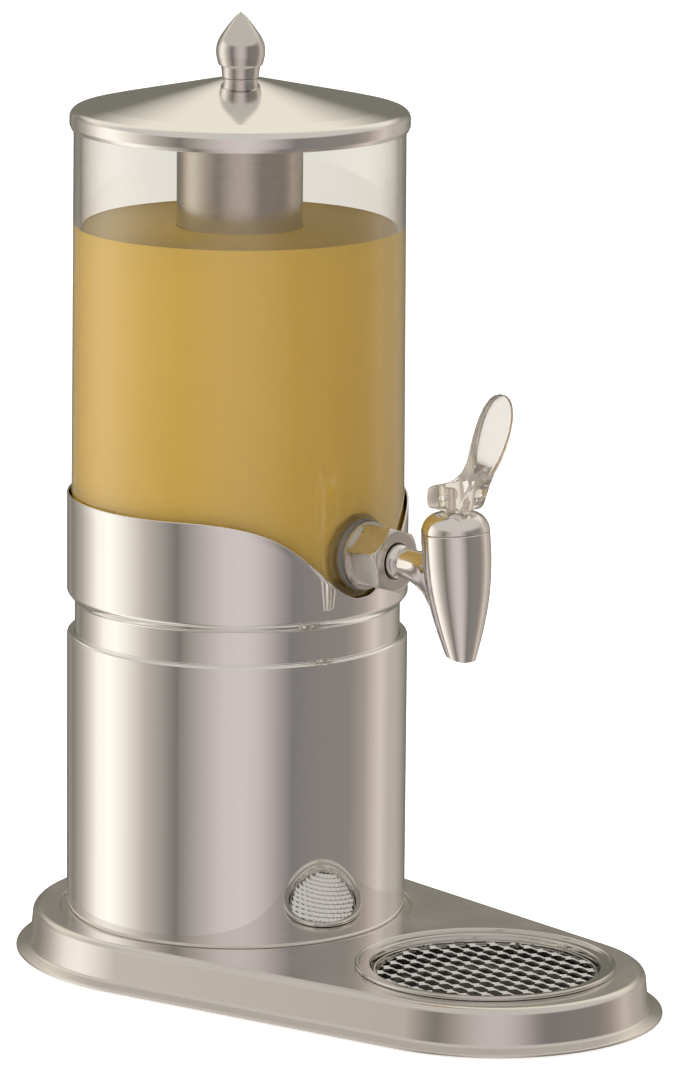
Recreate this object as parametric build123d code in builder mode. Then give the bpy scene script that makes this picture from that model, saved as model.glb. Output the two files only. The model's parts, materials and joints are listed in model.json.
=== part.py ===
from build123d import *
import math
import os

os.makedirs("parts", exist_ok=True)

# A four-litre cold-drink dispenser: a clear container standing in a polished steel tower, with a
# self-closing tap over a drip tray, on a teardrop-shaped pressed steel base. Millimetres, +Z up,
# +X from the tower towards the tap, origin under the middle of the base at table height.

# ---- driving dimensions ----
sheet = 1.0
base_sheet = 1.5
base_big_r = 106.5
base_small_r = 81.0
base_span = 166.0
base_top_z = 21.5
base_lip = 8.0
base_edge_z = 0.8
base_flange_z = 6.6
recess_r = 84.7
recess_z = 19.0

base_length = base_big_r + base_span + base_small_r
tower_x = base_big_r - base_length / 2
small_x = tower_x + base_span
tray_x = tower_x + 162.5

housing_r = 82.0
shoulder_z = 158.0
neck_r = 78.3
neck_top_z = 173.3
collar_z = 177.5
collar_top_z = 226.0
notch_z = 186.0
spigot_z = 150.0

container_r = 80.0
container_top_r = 79.0
container_z = 180.0
container_top_z = 404.0
container_wall = 3.5
container_floor = 4.0

tray_rim_r = 61.5
tray_hole_r = 55.0
tray_ledge_r = 54.2
tray_tub_r = 50.0
tray_floor_z = 5.0
grate_r = 53.0
grate_z = 17.9

tap_z = 207.0
boss_r = 18.0
boss_in = 75.0
boss_out = 81.0
shank_r = 8.0
shank_bore_r = 5.5
nut_in = 85.5
nut_out = 104.0
nut_flats = 28.4
neck_tube_r = 7.2
tap_lean = 4.6
tap_seam_s = 140.3
tap_seam_z = 226.5
tap_r = 16.2

lid_r = 81.0
lid_rim_z = 401.0
lid_edge_z = 409.3
lid_cone_z = 411.0
lid_sheet = 0.9
knob_z = 425.5
knob_tip_z = 457.0
knob_r = 11.7
tube_r = 30.0
tube_bottom_z = 208.0
tube_top_z = 408.0

tower_axis = Axis((tower_x, 0, 0), (0, 0, 1))
tray_axis = Axis((tray_x, 0, 0), (0, 0, 1))
tower_section = Plane(origin=(tower_x, 0, 0), x_dir=(1, 0, 0), z_dir=(0, -1, 0))
tray_section = Plane(origin=(tray_x, 0, 0), x_dir=(1, 0, 0), z_dir=(0, -1, 0))

lean = math.radians(tap_lean)
tap_up = (-math.sin(lean), 0, math.cos(lean))
tap_out = (math.cos(lean), 0, math.sin(lean))
tap_seam = (tower_x + tap_seam_s, 0, tap_seam_z)
tap_axis = Axis(tap_seam, tap_up)
tap_section = Plane(origin=tap_seam, x_dir=tap_out, z_dir=(0, -1, 0))
tap_cross = Plane(origin=tap_seam, x_dir=tap_out, z_dir=tap_up)
neck_origin = (tower_x, 0, tap_z)
neck_axis = Axis(neck_origin, (1, 0, 0))
neck_section = Plane(origin=neck_origin, x_dir=(1, 0, 0), z_dir=(0, -1, 0))


def save(piece, name):
    piece.part.label = name
    export_step(piece.part, f"parts/{name}.step")


def bent_sheet(plane, line_points, thickness, bend):
    """Section of a bent sheet: its first line, and a second one a thickness to its left."""
    with BuildSketch(plane) as section:
        with BuildLine():
            FilletPolyline(*line_points, radius=bend)
            offset(amount=thickness, side=Side.LEFT)
        make_face()
    return section.sketch


def outline(plane, points):
    """A straight-sided closed outline."""
    with BuildSketch(plane) as section:
        with BuildLine():
            Polyline(*points, close=True)
        make_face()
    return section.sketch


def ring(plane, inner_r, outer_r, low, high):
    """Rectangular section of a ring about the vertical axis of the plane."""
    return outline(plane, [(inner_r, low), (outer_r, low), (outer_r, high), (inner_r, high)])


def teardrop(height, grow):
    """Two circles of the base joined by their tangents."""
    with BuildSketch(Plane.XY.offset(height)) as shape:
        with Locations((tower_x, 0)):
            Circle(base_big_r + grow)
        with Locations((small_x, 0)):
            Circle(base_small_r + grow)
        make_hull()
    return shape.sketch


def on_axis(tower_reach):
    """Plane square to the neck of the tap at a distance from the tower's axis."""
    return Plane(origin=(tower_x + tower_reach, 0, tap_z), x_dir=(0, 1, 0), z_dir=(1, 0, 0))


# ---- base: one pressed sheet with a flared foot, a recess for the tower and a hole for the tray ----
shell_in = base_lip + base_sheet
recess_under_z = recess_z - base_sheet
tower_screw_r = 50.0
screw_hole_r = 2.7
tower_screw_angles = (30, 150, 270)
foot_r = 6.0
rear_foot_ring = 74.0
rear_foot_angles = (70, 180, 290)
front_foot_ring = 63.5
front_foot_angles = (-50, 50)

with BuildPart() as base_hollow:
    extrude(teardrop(0, -shell_in), amount=base_top_z - base_sheet)
    extrude(teardrop(0, -base_sheet), amount=base_flange_z - base_sheet)
    with BuildSketch(Plane.XY.offset(base_top_z)):
        with Locations((tower_x, 0)):
            Circle(recess_r + base_sheet)
    extrude(amount=-(base_top_z - recess_under_z), mode=Mode.SUBTRACT)

with BuildPart() as base_plate:
    extrude(teardrop(base_edge_z, -base_lip), amount=base_top_z - base_edge_z)
    fillet(base_plate.edges().group_by(Axis.Z)[-1], radius=3.6)
    extrude(teardrop(base_edge_z, 0), amount=base_flange_z - base_edge_z)
    foot_edges = base_plate.edges().filter_by(lambda e: abs(e.center().Z - base_flange_z) < 0.01)
    fillet(foot_edges, radius=2.6)
    with BuildSketch(Plane.XY.offset(base_top_z)):
        with Locations((tower_x, 0)):
            Circle(recess_r)
    extrude(amount=-(base_top_z - recess_z), mode=Mode.SUBTRACT)
    add(base_hollow.part, mode=Mode.SUBTRACT)
    with BuildSketch(Plane.XY.offset(base_top_z)):
        with Locations((tray_x, 0)):
            Circle(tray_hole_r)
    extrude(amount=-base_top_z, mode=Mode.SUBTRACT)
    with BuildSketch(Plane.XY.offset(recess_z)):
        with Locations((tower_x, 0)):
            for angle in tower_screw_angles:
                with PolarLocations(tower_screw_r, 1, start_angle=angle):
                    Circle(screw_hole_r)
    extrude(amount=-base_sheet, mode=Mode.SUBTRACT)
save(base_plate, "base_plate")

stud_r = 2.0
stud_length = 10.0
feet = []
for angle in rear_foot_angles:
    turn = math.radians(angle)
    foot_x = tower_x + rear_foot_ring * math.cos(turn)
    feet.append((foot_x, rear_foot_ring * math.sin(turn), recess_under_z))
for angle in front_foot_angles:
    turn = math.radians(angle)
    foot_x = tray_x + front_foot_ring * math.cos(turn)
    feet.append((foot_x, front_foot_ring * math.sin(turn), base_top_z - base_sheet))

with BuildPart() as base_feet:
    for x, y, top in feet:
        with BuildSketch(Plane.XY):
            with Locations((x, y)):
                Circle(foot_r)
        extrude(amount=top)
        with BuildSketch(Plane.XY.offset(top)):
            with Locations((x, y)):
                Circle(stud_r)
        extrude(amount=-stud_length, mode=Mode.SUBTRACT)
    chamfer(base_feet.edges().group_by(Axis.Z)[0], length=0.8)
save(base_feet, "base_feet")

with BuildPart() as foot_studs:
    for x, y, top in feet:
        with BuildSketch(Plane.XY.offset(top)):
            with Locations((x, y)):
                Circle(stud_r)
        extrude(amount=-stud_length)
save(foot_studs, "foot_studs")

# ---- tower: floor dish with its screws and nuts, lower shell, collar and the seat inside it ----
dish_sheet = 1.2
dish_r = 80.9
dish_rim_z = recess_z + 10.0
housing_floor_z = recess_z + dish_sheet
screw_r = 2.5
screw_head_r = 4.7
nut_r = 4.6
nut_height = 4.0

with BuildPart() as housing_floor:
    dish_line = [(0, recess_z), (dish_r, recess_z), (dish_r, dish_rim_z)]
    add(bent_sheet(tower_section, dish_line, dish_sheet, 2.0))
    revolve(axis=tower_axis)
    with BuildSketch(Plane.XY.offset(recess_z)):
        with Locations((tower_x, 0)):
            for angle in tower_screw_angles:
                with PolarLocations(tower_screw_r, 1, start_angle=angle):
                    Circle(screw_hole_r)
    extrude(amount=dish_sheet, mode=Mode.SUBTRACT)
save(housing_floor, "housing_floor")

with BuildPart() as housing_screws:
    for angle in tower_screw_angles:
        with BuildSketch(Plane.XY.offset(recess_under_z)):
            with Locations((tower_x, 0)):
                with PolarLocations(tower_screw_r, 1, start_angle=angle):
                    Circle(screw_head_r)
        extrude(amount=-3)
        with BuildSketch(Plane.XY.offset(recess_under_z)):
            with Locations((tower_x, 0)):
                with PolarLocations(tower_screw_r, 1, start_angle=angle):
                    Circle(screw_r)
        extrude(amount=9)
save(housing_screws, "housing_screws")

with BuildPart() as housing_nuts:
    for angle in tower_screw_angles:
        with BuildSketch(Plane.XY.offset(housing_floor_z)):
            with Locations((tower_x, 0)):
                with PolarLocations(tower_screw_r, 1, start_angle=angle):
                    RegularPolygon(nut_r, 6)
                    Circle(screw_r, mode=Mode.SUBTRACT)
        extrude(amount=nut_height)
save(housing_nuts, "housing_nuts")

with BuildPart() as housing_shell:
    shell_line = [(housing_r, recess_z), (housing_r, shoulder_z), (neck_r, shoulder_z)]
    shell_line.append((neck_r, spigot_z))
    add(bent_sheet(tower_section, shell_line, sheet, 1.8))
    revolve(axis=tower_axis)
save(housing_shell, "housing_shell")

notch_half = 66.0
cut_top_z = collar_top_z + 20.0
with BuildPart() as collar:
    collar_line = [(neck_r, spigot_z), (neck_r, neck_top_z), (housing_r, collar_z)]
    collar_line.append((housing_r, collar_top_z))
    add(bent_sheet(tower_section, collar_line, sheet, 1.6))
    revolve(axis=tower_axis)
    with BuildSketch(Plane.YZ.offset(tower_x)):
        with BuildLine():
            sweep_points = [(0, notch_z), (14.2, 190.2), (29.1, 204.6), (49.1, 218.9)]
            sweep_points.append((notch_half, collar_top_z))
            half = Spline(*sweep_points, tangents=((1, 0), (1, 0.06)))
            mirror(half, about=Plane.YZ)
            Polyline((-notch_half, collar_top_z), (-notch_half, cut_top_z), (notch_half, cut_top_z), half @ 1)
        make_face()
    extrude(amount=housing_r + 10, mode=Mode.SUBTRACT)
save(collar, "collar")

seat_z = container_z - 2.0
seat_inner_r = 62.0
with BuildPart() as container_seat:
    seat_line = [(neck_r - sheet, 160.0), (neck_r - sheet, seat_z), (seat_inner_r, seat_z)]
    add(bent_sheet(tower_section, seat_line, sheet, 1.5))
    revolve(axis=tower_axis)
save(container_seat, "container_seat")

with BuildPart() as seat_cushion:
    add(ring(tower_section, seat_inner_r + 1, neck_r - 4, seat_z, container_z))
    revolve(axis=tower_axis)
save(seat_cushion, "seat_cushion")

# ---- drip tray and its grate ----
tray_bead_r = 1.1
with BuildPart() as drip_tray:
    ledge_z = grate_z - 0.4 - sheet
    tray_line = [(0, tray_floor_z), (tray_tub_r, tray_floor_z), (tray_tub_r, ledge_z)]
    tray_line += [(tray_ledge_r, ledge_z), (tray_ledge_r, base_top_z + 0.2)]
    tray_line.append((tray_rim_r - 0.6, base_top_z + 0.2))
    add(bent_sheet(tray_section, tray_line, sheet, 1.1))
    revolve(axis=tray_axis)
    with BuildSketch(tray_section):
        with Locations((tray_rim_r - tray_bead_r, base_top_z + tray_bead_r)):
            Circle(tray_bead_r)
    revolve(axis=tray_axis)
save(drip_tray, "drip_tray")

mesh_sheet = 1.2
mesh_r = grate_r - 1.0
row_pitch = 7.6
cell_pitch = 9.8
cell_length = 8.0
cell_width = 5.0
mesh_turn = math.radians(55.5)
mesh_border = 1.5

rim_in_r = grate_r - 3.4
rim_out_r = grate_r - 0.1
rim_low_z = grate_z - 0.4
rim_high_z = grate_z + 2.0

with BuildPart() as grate_rim:
    rim_line = [(rim_in_r, rim_low_z), (rim_out_r, rim_low_z)]
    rim_line += [(rim_out_r, rim_high_z), (rim_in_r, rim_high_z)]
    add(bent_sheet(tray_section, rim_line, 0.5, 0.4))
    revolve(axis=tray_axis)
save(grate_rim, "grate_rim")

cells = []
rows = int(mesh_r // row_pitch)
columns = int(mesh_r // cell_pitch)
for row in range(-rows, rows + 1):
    stagger = cell_pitch / 2 if row % 2 else 0.0
    for column in range(-columns, columns + 1):
        across = column * cell_pitch + stagger
        along = row * row_pitch
        if math.hypot(abs(across) + cell_length / 2, abs(along) + cell_width / 4) < mesh_r - mesh_border:
            cells.append((across, along))

mesh_direction = (math.cos(mesh_turn), math.sin(mesh_turn), 0)
mesh_plane = Plane(origin=(tray_x, 0, grate_z + 0.1), x_dir=mesh_direction)
with BuildPart() as grate_mesh:
    with BuildSketch(mesh_plane):
        Circle(grate_r - 0.6)
        with Locations(*cells):
            SlotOverall(cell_length, cell_width, mode=Mode.SUBTRACT)
    extrude(amount=mesh_sheet)
save(grate_mesh, "grate_mesh")

# ---- container: moulded clear cup with a flat boss for the tap ----
with BuildPart() as container:
    wall_top_in = container_top_r - container_wall
    wall_in = container_r - container_wall
    floor_top_z = container_z + container_floor
    cup_points = [(0, container_z), (container_r - 0.4, container_z), (container_r, container_z + 20),
                  (container_top_r, container_top_z), (wall_top_in, container_top_z),
                  (wall_in, container_z + 20), (wall_in - 1, floor_top_z), (0, floor_top_z)]
    add(outline(tower_section, cup_points))
    revolve(axis=tower_axis)
    cup_edges = container.edges().filter_by(GeomType.CIRCLE)
    fillet(cup_edges.filter_by(lambda e: abs(e.center().Z - container_z) < 0.01), radius=4)
    with BuildSketch(on_axis(boss_in)):
        Circle(boss_r)
    extrude(amount=boss_out - boss_in)
    with BuildSketch(on_axis(boss_in - 20)):
        Circle(shank_r + 0.2)
    extrude(amount=60, mode=Mode.SUBTRACT)
save(container, "container")

# ---- tap connection: flanged shank from inside, seals, washer and hexagon nut ----
inner_seal_s = boss_in - 2.0
with BuildPart() as tap_shank:
    with BuildSketch(on_axis(inner_seal_s - 3.0)):
        Circle(13)
    extrude(amount=3.0)
    with BuildSketch(on_axis(inner_seal_s)):
        Circle(shank_r)
    extrude(amount=98.0 - inner_seal_s)
    with BuildSketch(on_axis(inner_seal_s - 3.0)):
        Circle(shank_bore_r)
    extrude(amount=40, mode=Mode.SUBTRACT)
save(tap_shank, "tap_shank")


def washer(name, start, thickness, outer_r, inner_r):
    with BuildPart() as piece:
        with BuildSketch(on_axis(start)):
            Circle(outer_r)
            Circle(inner_r, mode=Mode.SUBTRACT)
        extrude(amount=thickness)
    save(piece, name)


washer("inner_seal", inner_seal_s, 2.0, 13.0, shank_r)
washer("outer_seal", boss_out, 2.5, 16.9, shank_r)
washer("tap_washer", boss_out + 2.5, nut_in - boss_out - 2.5, 16.3, shank_r)

with BuildPart() as nut_chamfer:
    nut_points = [(nut_in, 0), (nut_in, 15.3), (nut_in + 1.1, 16.4), (nut_out - 3.2, 16.4)]
    nut_points += [(nut_out, 14.0), (nut_out, 0)]
    add(outline(neck_section, nut_points))
    revolve(axis=neck_axis)

with BuildPart() as tap_nut:
    with BuildSketch(on_axis(nut_in)):
        RegularPolygon(nut_flats / 2, 6, major_radius=False, rotation=12)
    extrude(amount=nut_out - nut_in)
    add(nut_chamfer.part, mode=Mode.INTERSECT)
    with BuildSketch(on_axis(nut_in)):
        Circle(shank_r)
    extrude(amount=nut_out - nut_in, mode=Mode.SUBTRACT)
    with BuildSketch(on_axis(98)):
        Circle(8.9)
    extrude(amount=nut_out - 98, mode=Mode.SUBTRACT)
save(tap_nut, "tap_nut")

# ---- tap body: tail, collared neck and leaning tapered barrel, bored from end to end ----
tail_r = shank_bore_r - 0.6
bore_r = 4.0
chamber_r = 12.4
seat_t = -38.0

with BuildPart() as tap_body:
    with BuildSketch(tap_section):
        with BuildLine():
            side = Spline((tap_r, 0), (tap_r + 0.1, -12), (15.0, -29), (12.0, -43), (8.0, -57.5))
            Polyline(side @ 1, (0, -57.5), (0, 0), side @ 0)
        make_face()
    revolve(axis=tap_axis)
    with BuildSketch(on_axis(106)):
        Circle(neck_tube_r)
    with BuildSketch(on_axis(130)):
        with Locations((0, -4)):
            Ellipse(neck_tube_r + 0.3, neck_tube_r + 6.5)
    loft()
    with BuildSketch(neck_section):
        with BuildLine():
            Polyline((108.3, 6.2), (108.3, 0), (98.2, 0), (98.2, 8.3), (105.6, 8.3))
            TangentArc((105.6, 8.3), (108.3, 6.2), tangent=(1, 0))
        make_face()
    revolve(axis=neck_axis)
    with BuildSketch(on_axis(84)):
        Circle(tail_r)
    extrude(amount=16)
    with BuildSketch(tap_section):
        with BuildLine():
            bore_points = [(0, 1), (chamber_r, 1), (chamber_r, -28), (7.6, seat_t), (5.2, seat_t)]
            bore_points += [(5.2, -60), (0, -60)]
            Polyline(*bore_points, close=True)
        make_face()
    revolve(axis=tap_axis, mode=Mode.SUBTRACT)
    with BuildSketch(on_axis(80)):
        Circle(bore_r)
    extrude(amount=54, mode=Mode.SUBTRACT)
    slant = Plane(origin=(tower_x + 145.1, 0, 168.6), z_dir=(-0.24, 0, -1))
    split(bisect_by=slant, keep=Keep.BOTTOM)
save(tap_body, "tap_body")

with BuildPart() as neck_oring:
    with BuildSketch(neck_section):
        with Locations((90, tail_r + 0.3)):
            Circle(0.3)
    revolve(axis=neck_axis)
save(neck_oring, "neck_oring")

stem_r = 2.6
guide_r = stem_r + 0.1
dome_t = 10.3
plug_t = -4.0
spring_low_t = -20.0
spring_high_t = 5.0

with BuildPart() as bonnet:
    with BuildSketch(tap_section):
        with BuildLine():
            dome = Spline((tap_r, 0), (15.9, 3.2), (14.0, 8.2), (11.2, dome_t), tangents=((0, 1), (-1, 0.2)))
            under_points = [(guide_r, dome_t), (guide_r, plug_t), (chamber_r, plug_t), (chamber_r, 0)]
            Polyline(dome @ 1, *under_points, dome @ 0)
        make_face()
    revolve(axis=tap_axis)
    with BuildSketch(tap_cross.offset(plug_t)):
        Circle(6.6)
    extrude(amount=spring_high_t - plug_t, mode=Mode.SUBTRACT)
save(bonnet, "bonnet")

# ---- valve: stem with its flange, silicone seat, spring and the lever pin ----
pin_t = 17.0
pin_r = 1.5
stem_top_t = 20.5
flange_t = -22.0
stem_low_t = -31.0

with BuildPart() as valve_stem:
    with BuildSketch(tap_section):
        with BuildLine():
            stem_points = [(0, stem_low_t), (stem_r, stem_low_t), (stem_r, flange_t), (6.0, flange_t)]
            stem_points += [(6.0, spring_low_t), (stem_r, spring_low_t)]
            stem_points += [(stem_r, stem_top_t), (0, stem_top_t)]
            Polyline(*stem_points, close=True)
        make_face()
    revolve(axis=tap_axis)
    with BuildSketch(Plane(origin=tap_cross.from_local_coords(Vector(0, 0, pin_t)), z_dir=(0, 1, 0))):
        Circle(pin_r)
    extrude(amount=10, both=True, mode=Mode.SUBTRACT)
save(valve_stem, "valve_stem")

with BuildPart() as seat_cup:
    with BuildSketch(tap_section):
        with BuildLine():
            cup_line = [(stem_r, flange_t - 0.2), (8.6, flange_t - 0.2), (9.4, -30), (7.2, seat_t + 0.3)]
            cup_line += [(0, seat_t + 0.3), (0, stem_low_t), (stem_r, stem_low_t)]
            Polyline(*cup_line, close=True)
        make_face()
    revolve(axis=tap_axis)
save(seat_cup, "seat_cup")

with BuildPart() as lever_pin:
    with BuildSketch(Plane(origin=tap_cross.from_local_coords(Vector(0, 0, pin_t)), z_dir=(0, 1, 0))):
        Circle(pin_r)
    extrude(amount=7.8, both=True)
save(lever_pin, "lever_pin")

spring_turns = 6
spring_height = spring_high_t - spring_low_t - 1.2
with BuildLine() as spring_path:
    Helix(pitch=spring_height / spring_turns, height=spring_height, radius=4.6,
          center=tap_cross.from_local_coords(Vector(0, 0, spring_low_t + 0.6)), direction=tap_up)

with BuildPart() as valve_spring:
    with BuildSketch(Plane(origin=spring_path.line @ 0, z_dir=spring_path.line % 0)):
        Circle(0.5)
    sweep(path=spring_path.line)
save(valve_spring, "valve_spring")

# ---- lever: clear moulding, a slotted cam foot over the bonnet and a leaf-shaped paddle ----
lever_half = 8.2
pin_point = tap_cross.from_local_coords(Vector(0, 0, pin_t))
foot_plane = Plane(origin=(tower_x, 0, 0), x_dir=(1, 0, 0), z_dir=(0, -1, 0))

with BuildPart() as lever_outline:
    with BuildSketch(Plane.YZ.offset(tower_x + 100)):
        with BuildLine():
            edge = Spline((lever_half, 252), (8.3, 258), (10.6, 267), (12.0, 277), (9.2, 288.5), (0, 295))
            Polyline(edge @ 0, (lever_half, 230), (0, 230), edge @ 1)
        make_face()
        mirror(about=Plane.YZ)
    extrude(amount=90)

with BuildPart() as lever_handle:
    with BuildSketch(foot_plane):
        with BuildLine():
            front_points = [(151.5, 246), (157.2, 256), (163.4, 274), (168.4, 296)]
            back_points = [(164.2, 296), (159.4, 274), (152.8, 259), (143, 250.5)]
            foot_points = [(129.6, 248.4), (128.6, 239.8), (131.0, 237.4), (147.0, 238.1), (150.8, 241.5)]
            front = Spline(*front_points, tangents=((0.6, 1), (0.2, 1)))
            back = Spline(*back_points, tangents=((-0.2, -1), (-1, -0.35)))
            Polyline(front @ 1, back @ 0)
            Polyline(back @ 1, *foot_points, front @ 0)
        make_face()
    extrude(amount=14, both=True)
    add(lever_outline.part, mode=Mode.INTERSECT)
    with BuildSketch(tap_cross.offset(6)):
        with Locations((1.3, 0)):
            SlotOverall(14.8, 6.4)
    extrude(amount=17.5, mode=Mode.SUBTRACT)
    with BuildSketch(Plane(origin=pin_point, z_dir=(0, 1, 0))):
        Circle(pin_r + 0.05)
    extrude(amount=20, both=True, mode=Mode.SUBTRACT)
save(lever_handle, "lever_handle")

# ---- lid: spun cone with a tucked rim, inner centring ring, knob and the ice tube ----
with BuildPart() as lid_shell:
    lid_outside = [(lid_r - 0.8, lid_rim_z), (lid_r, lid_rim_z + 1.5), (lid_r, lid_edge_z - 1)]
    lid_outside += [(79.6, lid_edge_z), (76, lid_cone_z), (9, knob_z), (0, knob_z)]
    lid_in_r = lid_r - lid_sheet
    lid_inside = [(0, knob_z - lid_sheet), (8.9, knob_z - lid_sheet), (75.8, lid_cone_z - lid_sheet)]
    lid_inside += [(79.2, lid_edge_z - 0.8), (lid_in_r, lid_edge_z - 1.4), (lid_in_r, lid_rim_z + 1.5)]
    lid_inside.append((lid_in_r - 0.8, lid_rim_z))
    add(outline(tower_section, lid_outside + lid_inside))
    revolve(axis=tower_axis)
    with BuildSketch(Plane.XY.offset(knob_z)):
        with Locations((tower_x, 0)):
            Circle(2.6)
    extrude(amount=-5, mode=Mode.SUBTRACT)
save(lid_shell, "lid_shell")

with BuildPart() as lid_ring:
    ring_points = [(73.2, 400.4), (74.6, 400.4), (74.6, 404.3), (79.9, 404.3), (79.9, 406.9), (75.8, 410.0),
                   (73.2, 410.5)]
    add(outline(tower_section, ring_points))
    revolve(axis=tower_axis)
save(lid_ring, "lid_ring")

with BuildPart() as lid_knob:
    with BuildSketch(tower_section):
        with BuildLine():
            knob_neck = Line((8.5, knob_z), (9.4, knob_z + 5.8))
            bulb_points = [(10.6, knob_z + 6.3), (knob_r, knob_z + 13.2), (8.4, knob_z + 21.5)]
            bulb_points += [(3.2, knob_z + 29.1), (0, knob_tip_z)]
            knob_bulb = Spline(*bulb_points, tangents=((0.35, 1), (-0.75, 1)))
            Line(knob_neck @ 1, knob_bulb @ 0)
            Polyline(knob_bulb @ 1, (0, knob_z), knob_neck @ 0)
        make_face()
    revolve(axis=tower_axis)
    with BuildSketch(Plane.XY.offset(knob_z)):
        with Locations((tower_x, 0)):
            Circle(2.5)
    extrude(amount=14, mode=Mode.SUBTRACT)
save(lid_knob, "lid_knob")

knob_under_z = knob_z - lid_sheet
with BuildPart() as knob_washer:
    add(ring(tower_section, 2.7, 6.5, knob_under_z - 1, knob_under_z))
    revolve(axis=tower_axis)
save(knob_washer, "knob_washer")

with BuildPart() as knob_screw:
    screw_points = [(0, knob_under_z - 4), (4.5, knob_under_z - 4), (4.5, knob_under_z - 1)]
    screw_points += [(2.5, knob_under_z - 1), (2.5, knob_z + 12), (0, knob_z + 12)]
    add(outline(tower_section, screw_points))
    revolve(axis=tower_axis)
save(knob_screw, "knob_screw")

# ---- ice tube: turned a sixth of a turn to free its three lugs from the lid's socket ----
lip_z = 403.0
lip_sheet = 1.2
socket_r = 36.0
lug_angles = (0, 120, 240)
lug_width = 10.0

with BuildPart() as tube_socket:
    socket_line = [(socket_r, 418.2), (socket_r, lip_z), (tube_r + 1.2, lip_z)]
    add(bent_sheet(tower_section, socket_line, lip_sheet, 1.0))
    revolve(axis=tower_axis)
    for angle in lug_angles:
        with BuildSketch(Plane.XY.offset(lip_z + 1)):
            with Locations((tower_x, 0)):
                with PolarLocations(tube_r + 2.5, 1, start_angle=angle + 60):
                    Rectangle(5.6, lug_width + 2)
        extrude(amount=-lip_sheet - 2, mode=Mode.SUBTRACT)
save(tube_socket, "tube_socket")

with BuildPart() as ice_tube:
    tube_line = [(0, tube_bottom_z), (tube_r, tube_bottom_z), (tube_r, tube_top_z)]
    add(bent_sheet(tower_section, tube_line, 0.8, 6.0))
    revolve(axis=tower_axis)
    for angle in lug_angles:
        with BuildSketch(Plane.XY.offset(lip_z + 0.3)):
            with Locations((tower_x, 0)):
                with PolarLocations(tube_r + 2.2, 1, start_angle=angle):
                    Rectangle(4.8, lug_width)
        extrude(amount=2)
save(ice_tube, "ice_tube")

with BuildPart() as tube_oring:
    with BuildSketch(tower_section):
        with Locations((tube_r + 0.9, lip_z - lip_sheet - 1.1)):
            Circle(0.9)
    revolve(axis=tower_axis)
save(tube_oring, "tube_oring")
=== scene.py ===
import json
import math

import bmesh
import bpy
from mathutils import Matrix, Vector


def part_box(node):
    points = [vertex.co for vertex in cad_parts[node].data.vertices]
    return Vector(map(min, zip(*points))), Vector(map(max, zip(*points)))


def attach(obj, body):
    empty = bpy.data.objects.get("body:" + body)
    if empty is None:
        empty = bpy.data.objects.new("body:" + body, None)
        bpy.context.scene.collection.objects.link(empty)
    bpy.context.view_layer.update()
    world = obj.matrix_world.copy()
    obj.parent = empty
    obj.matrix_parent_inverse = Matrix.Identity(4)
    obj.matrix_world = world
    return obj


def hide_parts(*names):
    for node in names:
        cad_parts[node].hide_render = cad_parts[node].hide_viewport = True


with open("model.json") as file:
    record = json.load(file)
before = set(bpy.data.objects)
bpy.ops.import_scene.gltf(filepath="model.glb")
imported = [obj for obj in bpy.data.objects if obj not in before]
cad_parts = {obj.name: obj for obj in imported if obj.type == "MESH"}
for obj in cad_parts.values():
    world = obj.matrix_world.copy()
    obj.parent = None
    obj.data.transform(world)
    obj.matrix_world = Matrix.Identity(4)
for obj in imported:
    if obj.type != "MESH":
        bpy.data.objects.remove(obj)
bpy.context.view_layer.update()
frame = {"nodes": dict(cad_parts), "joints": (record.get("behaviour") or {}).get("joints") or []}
nodes = frame["nodes"]
MM = 0.001
UP = Vector((0, 0, 1))
FORWARD = Vector((1, 0, 0))


# ---------------------------------------------------------------- places, all read from the frame
def centre(node):
    low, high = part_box(node)
    return (low + high) / 2


tower = Vector((centre("housing_shell").x, 0, 0))
tray = Vector((centre("drip_tray").x, 0, 0))
base_low, base_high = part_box("base_plate")
shell_low, shell_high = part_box("housing_shell")
collar_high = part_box("collar")[1]
cup_low, cup_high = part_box("container")
lid_low, lid_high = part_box("lid_shell")
knob_low, knob_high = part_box("lid_knob")
tube_low, tube_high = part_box("ice_tube")
tray_low, tray_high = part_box("drip_tray")
nut_low, nut_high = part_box("tap_nut")
neck_height = (nut_low.z + nut_high.z) / 2
joints = {joint["name"]: joint for joint in frame["joints"]}
tap_up = Vector(joints["stem_lift"]["axis"]).normalized()
lever_pin = Vector(joints["lever_tilt"]["pos_m"])
PIN_ABOVE_SEAM = 17.0
tap_seam = lever_pin - tap_up * PIN_ABOVE_SEAM * MM
tap_out = Vector((tap_up.z, 0, -tap_up.x))


# ---------------------------------------------------------------- mesh helpers
def smooth_shade(mesh, angle):
    """Smooth shading, broken at edges sharper than an angle in degrees."""
    for polygon in mesh.polygons:
        polygon.use_smooth = True
    mesh.set_sharp_from_angle(angle=math.radians(angle))


def new_object(name, bm, look, smooth=35.0):
    bmesh.ops.remove_doubles(bm, verts=bm.verts, dist=1e-7)
    bmesh.ops.recalc_face_normals(bm, faces=bm.faces)
    mesh = bpy.data.meshes.new(name)
    bm.to_mesh(mesh)
    bm.free()
    piece = bpy.data.objects.new(name, mesh)
    bpy.context.scene.collection.objects.link(piece)
    smooth_shade(mesh, smooth)
    mesh.materials.append(look)
    return piece


def finish(piece, body, slot_name, *cad_nodes):
    """Ties a piece to its body and hides the CAD nodes it stands for; its slot name is not used."""
    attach(piece, body)
    if cad_nodes:
        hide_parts(*cad_nodes)


def join_rings(bm, rings):
    """Faces between neighbouring closed rings of equal length."""
    for a, b in zip(rings, rings[1:]):
        for k in range(len(a)):
            n = (k + 1) % len(a)
            bm.faces.new((a[k], a[n], b[n], b[k]))


def close_ends(bm, rings):
    bm.faces.new(rings[0])
    bm.faces.new(list(reversed(rings[-1])))


def ring_edges(bm, ring):
    """The edges round a closed ring, made where they are missing."""
    edges = []
    for k in range(len(ring)):
        pair = (ring[k], ring[(k + 1) % len(ring)])
        edge = bm.edges.get(pair)
        if edge is None:
            edge = bm.edges.new(pair)
        edges.append(edge)
    return edges


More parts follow.
